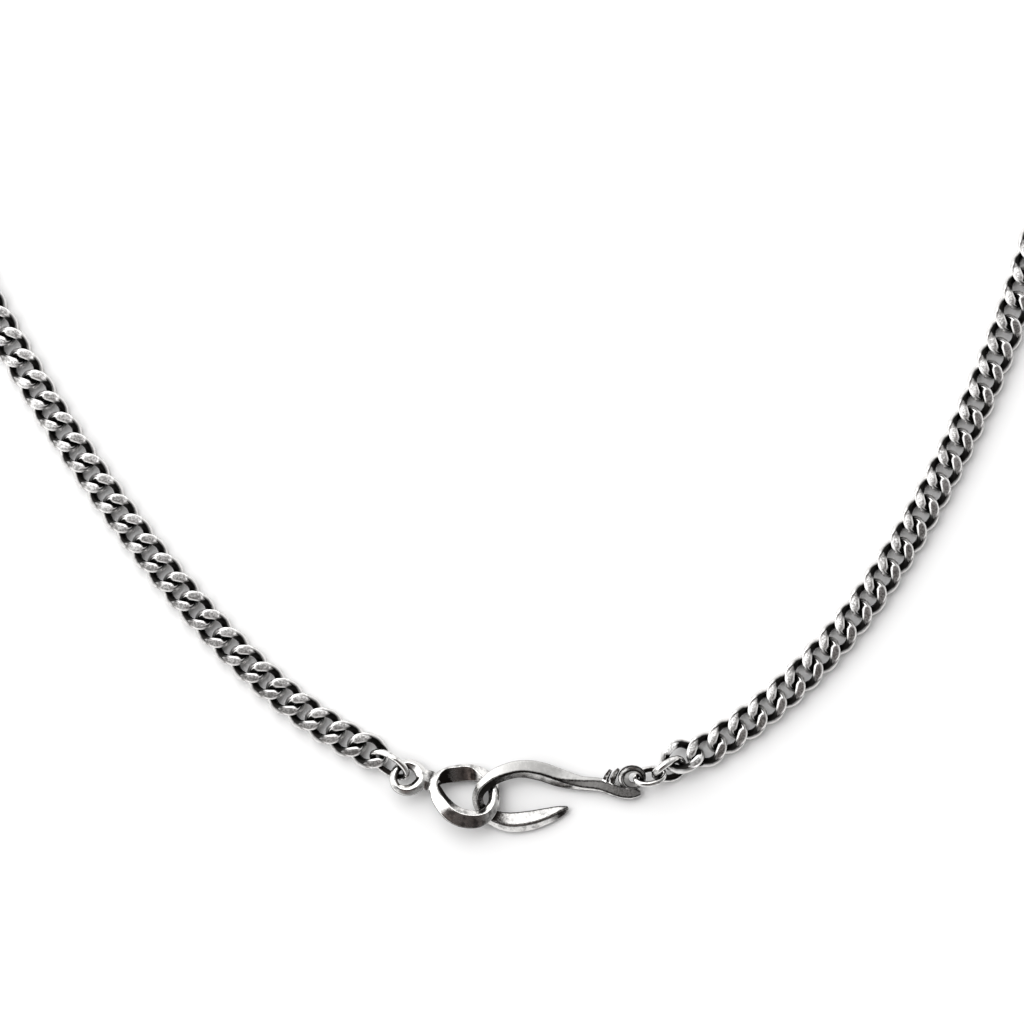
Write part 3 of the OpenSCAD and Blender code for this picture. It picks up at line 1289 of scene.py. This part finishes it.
@dataclass(frozen=True)
class Hook:
    """The forged hook: a bar bent back on itself, with a leaning loop soldered on its thick end.

    Attributes:
        bar: The bar's sections, from the end under the loop to the open tip.
        ribs: Position, width and thickness of the sections of each short rib beside the loop.
        rib_bevels: The near bevel's width and drop and the far bevel's width, for both ribs.
        loop_at: The loop's middle.
        loop_half: Half its length and half its height, on the middle line of its bar.
        loop_lean: Degrees by which it is tilted up from level.
        loop_section: Width and thickness of its bar.
        loop_swell: How much wider the bar is on the loop's left.
        loop_rows: Number of sections that the loop goes through.
    """

    # Each row's darkness of the near bevel, the flat and the far bevel is painted shade and dark reflection.
    bar: tuple[BarRow, ...] = (
        BarRow(17.80, -3.15, 0.60, 0.8, 0.9, 0.20, 0.3, 0.20, 0.3, 0.9, 0.0, 0.1, 0.4, 0.1),
        BarRow(16.70, -3.10, 0.70, 1.8, 1.3, 0.14, 0.3, 0.14, 0.3, 1.0, 0.0, 0.0, 0.45, 0.0),
        BarRow(15.00, -2.92, 0.75, 1.9, 1.4, 0.14, 0.4, 0.14, 0.3, 1.0, 0.0, 0.0, 0.5, 0.0),
        BarRow(12.25, -2.02, 0.80, 1.9, 1.5, 0.18, 0.45, 0.20, 0.3, 1.0, 0.0, 0.0, 0.35, 0.0),
        BarRow(9.45, -1.75, 0.85, 2.0, 1.6, 0.26, 0.5, 0.30, 0.3, 0.8, 0.0, 0.0, 0.25, 0.0),
        BarRow(6.65, -1.04, 1.10, 2.5, 1.6, 0.34, 0.55, 0.54, 0.3, 0.8, 0.0, 0.1, 0.8, 0.0),
        BarRow(3.90, -0.10, 1.50, 2.6, 1.6, 0.36, 0.57, 0.59, 0.3, 1.0, 0.2, 0.2, 0.95, 0.0),
        BarRow(1.10, 0.25, 1.95, 2.4, 1.6, 0.34, 0.57, 0.60, 0.3, 1.0, 0.2, 0.25, 0.95, 0.0),
        BarRow(-1.65, -0.45, 2.48, 2.2, 1.5, 0.32, 0.57, 0.57, 0.3, 1.0, 0.2, 0.7, 0.9, 0.0),
        BarRow(-3.50, -1.65, 2.60, 1.9, 1.4, 0.45, 0.5, 0.45, 0.4, 0.3, 0.0, 1.0, 0.5, 0.1),
        BarRow(-4.55, -2.95, 2.00, 1.6, 1.5, 0.45, 0.5, 0.45, 0.45, 0.3, 0.0, 0.9, 0.5, 0.3),
        BarRow(-4.75, -4.15, 1.40, 1.5, 1.5, 0.45, 0.5, 0.45, 0.45, 0.3, 0.0, 0.5, 0.5, 0.4),
        BarRow(-4.30, -5.30, 0.88, 1.6, 1.4, 0.50, 0.4, 0.40, 0.45, 0.3, 0.0, 0.6, 0.5, 0.4),
        BarRow(-2.90, -6.50, 0.72, 2.1, 1.4, 0.58, 0.4, 0.34, 0.5, 0.2, 0.5, 1.0, 0.6, 0.2),
        BarRow(-0.30, -7.20, 0.80, 2.7, 1.5, 0.62, 0.4, 0.32, 0.55, 0.1, 0.6, 0.38),
        BarRow(2.50, -6.95, 0.80, 2.7, 1.5, 0.62, 0.4, 0.32, 0.55, 0.1, 0.6, 0.36),
        BarRow(4.90, -6.30, 0.75, 2.2, 1.4, 0.58, 0.4, 0.34, 0.5, 0.1, 0.6, 0.36, 0.2, 0.1),
        BarRow(6.70, -5.68, 0.65, 1.5, 1.1, 0.45, 0.4, 0.40, 0.45, 0.3, 0.6, 0.2, 0.7, 0.9),
        BarRow(7.80, -5.25, 0.55, 0.6, 0.7, 0.30, 0.3, 0.30, 0.3, 0.3, 0.6, 0.1, 0.3, 0.3),
    )
    ribs: tuple[tuple[tuple[float, ...], ...], ...] = (
        ((12.75, -1.95, 1.05, 0.75, 0.7), (13.15, -0.85, 1.35, 0.75, 0.6), (13.70, 0.10, 1.45, 0.45, 0.4)),
        ((13.75, -2.05, 1.10, 0.80, 0.7), (14.15, -0.75, 1.60, 0.80, 0.6), (14.80, 0.25, 1.85, 0.45, 0.4)),
    )
    rib_bevels: Triple = (0.68, 0.36, 0.3)
    loop_at: Triple = (16.62, -0.92, 2.35)
    loop_half: Pair = (1.5, 1.7)
    loop_lean: float = 38.0
    loop_section: Pair = (0.9, 0.8)
    loop_swell: float = 0.6
    loop_rows: int = 20

    def rib(self, rows: Sequence[Sequence[float]]) -> ForgedBar:
        """Return one rib, all of it bright."""
        made = tuple(BarRow(*row, *self.rib_bevels) for row in rows)
        return ForgedBar(made, UPRIGHT, False, steps=3, wall=0.0, ridge=0.0)

    def loop(self) -> ForgedBar:
        """Build the leaning loop. Where its bar swells, it does so inwards.

        Returns:
            The loop's bar.
        """
        lean = math.radians(self.loop_lean)
        width, thickness = self.loop_section
        rows = []
        for i in range(self.loop_rows):
            turn = -2.0 * math.pi * i / self.loop_rows
            swell = self.loop_swell * (1.0 - math.cos(turn)) / 2.0
            half_length, half_height = [half - swell / 2.0 for half in self.loop_half]
            x, rise = half_length * math.cos(turn), half_height * math.sin(turn)
            middle = np.array([x, rise * math.cos(lean), rise * math.sin(lean)]) + self.loop_at
            rows.append(BarRow(*middle, width + swell, thickness, far=0.5, far_dark=0.2))
        up = (0.0, -math.sin(lean), math.cos(lean))
        # The loop's walls and underside are painted nearly black, as the shade inside the loop.
        return ForgedBar(tuple(rows), up, True, steps=3, ridge=0.2, wall=0.95)

    def shape(self) -> Shape:
        """Return the hook as one closed shell."""
        parts = [ForgedBar(self.bar, UPRIGHT, False, near_edge=1.0), self.loop(), *map(self.rib, self.ribs)]
        return united("hook", [p.shape() for p in parts])


class EyeRow(NamedTuple):
    """A section of the eye's bar, which lies in the eye's own leaning plane.

    Attributes:
        x: The section's middle along X.
        y: Its middle along Y.
        width: Its width.
        share: Its thickness, as a share of the eye's.
        near_dark: How dark the near bevel is painted, as shade and dark reflection.
        far_dark: How dark the far bevel is.
        near: The near bevel's share of the width.
        near_drop: Share of the thickness that it falls by.
        far: The far bevel's share of the width.
        far_drop: Share of the thickness that it falls by.
    """

    x: float
    y: float
    width: float
    share: float
    near_dark: float = 0.0
    far_dark: float = 0.0
    near: float = 0.36
    near_drop: float = 0.36
    far: float = 0.36
    far_drop: float = 0.36


@dataclass(frozen=True)
class Eye:
    """The forged figure eye: a small ring for the chain and a large one for the hook, with a neck between.

    Attributes:
        slope: Rise of the eye's plane for each millimetre along X and along Y.
        pivot: A point that the plane goes through.
        thickness: Thickness of the bar.
        ridge: How dark the edges of its flat are.
        large: Sections of the large ring, clockwise from the neck.
        small: Sections of the small ring, clockwise from the neck.
        neck: Sections of the neck, from the small ring to the large one.
    """

    slope: Pair = (-0.10, -0.30)
    pivot: Triple = (-2.5, -3.75, 1.55)
    thickness: float = 1.3
    ridge: float = 0.3
    # The near_dark and far_dark of each row paint shade and dark reflection on its bevels.
    large: tuple[EyeRow, ...] = (
        EyeRow(-10.65, -1.70, 1.4, 0.95, 0.2, 0.9),
        EyeRow(-9.40, -0.75, 2.1, 1.0, 0.0, 1.0, 0.16, 0.4, 0.78, 0.5),
        EyeRow(-7.70, -0.42, 2.4, 1.0, 0.0, 0.45, 0.15, 0.4, 0.79, 0.5),
        EyeRow(-5.80, -0.30, 2.4, 1.0, 0.0, 0.1, 0.22, 0.4, 0.72, 0.5),
        EyeRow(-4.05, -0.75, 2.1, 1.0, 0.0, 0.3, 0.60, 0.4, 0.32, 0.45),
        EyeRow(-2.85, -1.80, 1.7, 1.0, 0.1, 0.5),
        EyeRow(-2.45, -3.20, 1.6, 1.0, 0.1, 0.2),
        EyeRow(-2.60, -4.60, 1.6, 1.0, 0.1, 0.1),
        EyeRow(-3.30, -5.85, 1.9, 1.0, 0.2, 0.0, 0.5, 0.4, 0.4, 0.4),
        EyeRow(-4.80, -6.62, 2.4, 1.0, 0.5, 0.0, 0.62, 0.5, 0.32, 0.4),
        EyeRow(-6.70, -6.52, 2.6, 1.0, 0.5, 0.1, 0.62, 0.5, 0.32, 0.4),
        EyeRow(-8.35, -5.75, 2.6, 1.0, 0.3, 0.5, 0.60, 0.4, 0.34, 0.45),
        EyeRow(-9.65, -4.40, 2.3, 1.0, 0.0, 0.95, 0.60, 0.3, 0.32, 0.5),
        EyeRow(-10.45, -3.00, 1.9, 0.95, 0.0, 0.95),
    )
    small: tuple[EyeRow, ...] = (
        EyeRow(-12.45, -1.05, 1.7, 0.9, 0.0, 0.5, far=0.28),
        EyeRow(-13.15, -2.15, 1.7, 0.9, 0.3, 0.4, far=0.28),
        EyeRow(-14.50, -2.70, 1.5, 0.85, 0.8, 0.7, near=0.42),
        EyeRow(-15.90, -2.30, 1.2, 0.85, 0.7, 0.9, near=0.42),
        EyeRow(-16.45, -1.00, 1.1, 0.85, 0.4, 0.8),
        EyeRow(-15.85, 0.35, 1.1, 0.80, 0.3, 0.9),
        EyeRow(-14.50, 0.95, 1.3, 0.80, 0.2, 1.0, far=0.45),
        EyeRow(-13.10, 0.35, 1.6, 0.9, 0.4, 1.0, far=0.45),
    )
    neck: tuple[EyeRow, ...] = (
        EyeRow(-12.55, -0.95, 2.6, 0.80),
        EyeRow(-11.40, -1.40, 2.9, 0.85),
        EyeRow(-10.30, -1.85, 2.2, 0.80),
    )

    def bar(self, rows: Sequence[EyeRow], closed: bool) -> ForgedBar:
        """Return one part of the eye in its leaning plane.

        Args:
            rows: The part's sections.
            closed: Whether the part is a ring.

        Returns:
            The bar.
        """
        made = []
        for r in rows:
            rise = self.slope[0] * (r.x - self.pivot[0]) + self.slope[1] * (r.y - self.pivot[1])
            made.append(BarRow(
                r.x, r.y, self.pivot[2] + rise, r.width, r.share * self.thickness,
                r.near, r.near_drop, r.far, r.far_drop, near_dark=r.near_dark, far_dark=r.far_dark,
            ))
        up = unit(np.array([-self.slope[0], -self.slope[1], 1.0]))
        return ForgedBar(tuple(made), tuple(up), closed, ridge=self.ridge)

    def shape(self) -> Shape:
        """Build the eye.

        Returns:
            The eye as one closed shell.
        """
        neck = replace(self.bar(self.neck, False), steps=1, wall=0.0, ridge=0.0)
        parts = [self.bar(self.large, True), self.bar(self.small, True), neck]
        return united("eye", [p.shape() for p in parts])


@dataclass
class Clasp:
    """The hook, the eye and the rings that join them to the chain.

    Attributes:
        chain: The chain that they are joined to.
        hook: The forged hook.
        eye: The forged eye.
        left_ring: The plain ring between the chain and the eye.
        jump_ring: The ring in the hook's loop.
        right_ring: The lightly twisted ring that hangs in the jump ring.
        right_link: The link between that and the chain, which is made as the chain's are.
    """

    chain: Chain
    hook: Hook = Hook()
    eye: Eye = Eye()
    left_ring: LooseRing = LooseRing(
        at=(-16.97, 0.84, 1.52), yaw=-31.6, pitch=-8.9, roll=40.8,
        link=CurbLink(half_length=2.75, half_width=1.49, wire=0.92, twist=0.0, thickness=NEVER_GROUND),
    )
    jump_ring: LooseRing = LooseRing(
        at=(19.10, -0.77, 2.14), yaw=12.8, pitch=8.0, roll=-36.8,
        link=CurbLink(half_length=2.00, half_width=1.24, wire=0.84, twist=0.0, thickness=NEVER_GROUND),
    )
    right_ring: LooseRing = LooseRing(
        at=(21.80, 0.18, 1.82), yaw=11.1, pitch=28.3, roll=44.0,
        link=CurbLink(half_length=2.22, half_width=1.69, wire=1.10, twist=19.6, thickness=NEVER_GROUND),
    )
    right_link: LooseRing = LooseRing(
        at=(23.65, 2.01, 1.67), yaw=5.6, pitch=8.4, roll=-15.0,
        link=CurbLink(half_length=2.52, half_width=1.85, wire=1.26, twist=46.0),
    )

    def build(self, link_finish: bpy.types.Material, finish: bpy.types.Material, cavities: Cavities) -> None:
        """Make the clasp's pieces.

        Args:
            link_finish: The finish of the one link here that is made as the chain's are.
            finish: The finish of the others.
            cavities: Marks where the pieces shut each other in.
        """
        link_node = "end_link_right_2"
        shapes = {
            link_node: self.right_link.shape(),
            "end_link_right_1": self.right_ring.shape(),
            "end_link_left": self.left_ring.shape(),
            "jump_ring": self.jump_ring.shape(),
            "hook": self.hook.shape(),
            "eye": self.eye.shape(),
        }
        next_links = [self.chain.in_place(i) for i in (0, 1, -2, -1)]
        shift = -self.chain.route.middle()
        for node, shape in shapes.items():
            cavities.mark(shape, [s for n, s in shapes.items() if n != node] + next_links)
            mesh = shape.mesh(node, shift)
            is_link = node == link_node
            mesh.materials.append(link_finish if is_link else finish)
            hand_over(new_piece(node), mesh, node)


@dataclass(frozen=True)
class Studio:
    """A white floor under a wide soft light, with a dark patch overhead where the camera stands.

    Attributes:
        looks_at: Point on the floor that the camera is above, in millimetres.
        framing: Width of the view on the floor, in millimetres.
        distance: Height of the camera, in millimetres.
        sensor: Width of its sensor, in millimetres.
        clip_start: Distance at which it starts to see, in metres.
        floor_half: Half the floor's side, in metres.
        floor_colour: Colour of the floor.
        floor_roughness: Its roughness.
        light_from: Direction from the view's middle to the light.
        light_distance: Distance to the light, in metres.
        light_size: Side of the light, in metres.
        light_power: Power of the light, in watts.
        bright: How bright the room is on its bright side.
        dim: How bright it is on its dim side.
        dim_at: Direction of the dim side.
        dim_edge: Degrees from it at which it begins, and at which it is full.
        patch_at: Direction of the dark patch.
        patch_edge: Degrees from it at which it begins, and at which it is full.
        patch_dark: Its darkest colour.
        patch_brown: Its lightest colour.
        patch_grain: Scale of the change between the two.
        patch_speck: Noise at which the change begins, and at which it is full.
    """

    looks_at: Pair = (3.42, -54.20)
    framing: float = 142.3
    distance: float = 700.0
    sensor: float = 36.0
    clip_start: float = 0.01
    floor_half: float = 3.0
    floor_colour: Colour = (0.94, 0.94, 0.94)
    floor_roughness: float = 0.9
    light_from: Triple = (-0.52, 0.50, 0.68)
    light_distance: float = 0.9
    light_size: float = 1.25
    light_power: float = 10.0
    bright: float = 1.26
    dim: float = 0.30
    dim_at: Triple = (0.62, -0.50, 0.62)
    dim_edge: Pair = (82.0, 25.0)
    patch_at: Triple = (0.0, -0.14, 1.0)
    patch_edge: Pair = (40.0, 17.0)
    patch_dark: Colour = (0.012, 0.010, 0.010)
    patch_brown: Colour = (0.17, 0.14, 0.13)
    patch_grain: float = 5.0
    patch_speck: Pair = (0.35, 0.65)

    def floor(self) -> None:
        """Lay the floor."""
        h = self.floor_half
        mesh = bpy.data.meshes.new("floor")
        mesh.from_pydata([(-h, -h, 0.0), (h, -h, 0.0), (h, h, 0.0), (-h, h, 0.0)], [], [(0, 1, 2, 3)])
        paper, _, shader = new_material("white_paper")
        shader.inputs["Base Color"].default_value = (*self.floor_colour, 1.0)
        shader.inputs["Roughness"].default_value = self.floor_roughness
        mesh.materials.append(paper)
        in_scene("floor", mesh)

    def light(self) -> None:
        """Hang the wide light, aimed at the middle of the view."""
        lamp = bpy.data.lights.new("wide_light", "AREA")
        lamp.shape = "SQUARE"
        lamp.size = self.light_size
        lamp.energy = self.light_power
        made = in_scene("wide_light", lamp)
        target = Vector((self.looks_at[0] * MM, self.looks_at[1] * MM, 0.0))
        away = Vector(self.light_from).normalized()
        made.location = target + away * self.light_distance
        made.rotation_euler = away.to_track_quat("Z", "Y").to_euler()

    def surroundings(self) -> None:
        """Set the bright room that the silver mirrors, with its dim side and its dark patch overhead."""
        world = bpy.data.worlds.new("room")
        world.use_nodes = True
        bpy.context.scene.world = world
        w = Wiring(world.node_tree)
        where = w.add("ShaderNodeTexCoord").outputs["Generated"]

        def near(direction: Triple, edge: Pair) -> Socket:
            """Tell how near to a direction the room is.

            Args:
                direction: The direction.
                edge: Degrees from it at which the result is 0, and at which it is 1.

            Returns:
                A number from 0 to 1.
            """
            ends = {0: where, 1: Vector(direction).normalized()}
            cosine = w.add("ShaderNodeVectorMath", ends, operation="DOT_PRODUCT").outputs["Value"]
            return w.ramp(cosine, *[math.cos(math.radians(a)) for a in edge])

        room = w.mix(near(self.dim_at, self.dim_edge), self.bright, self.dim)
        grain = w.ramp(w.noise(where, self.patch_grain), *self.patch_speck)
        patch = w.tint(grain, self.patch_dark, self.patch_brown)
        sky = w.out("ShaderNodeCombineColor", {0: room, 1: room, 2: room})
        colour = w.tint(near(self.patch_at, self.patch_edge), sky, patch)
        w.feed(world.node_tree.nodes["Background"], {"Color": colour})

    def camera(self) -> None:
        """Set the camera straight above the clasp's side of the loop, as the photograph was taken."""
        lens = bpy.data.cameras.new("camera")
        lens.sensor_width = self.sensor
        lens.lens = self.sensor * self.distance / self.framing
        lens.clip_start = self.clip_start
        made = in_scene("camera", lens)
        made.location = (self.looks_at[0] * MM, self.looks_at[1] * MM, self.distance * MM)
        bpy.context.scene.camera = made

    def build(self) -> None:
        """Set up the whole studio, with colours shown as they are."""
        self.floor()
        self.light()
        self.surroundings()
        self.camera()
        bpy.context.scene.view_settings.view_transform = "Standard"


def main() -> None:
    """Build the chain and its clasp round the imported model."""
    logging.basicConfig(level=logging.INFO, format="%(name)s: %(message)s")
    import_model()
    Studio().build()
    cavities = Cavities()
    chain_finish, clasp_finish = OxidisedSilver().build(), PolishedSilver().build()
    chain = Chain(Route())
    chain.build(chain_finish, cavities)
    Clasp(chain).build(chain_finish, clasp_finish, cavities)


if __name__ == "__main__":
    main()
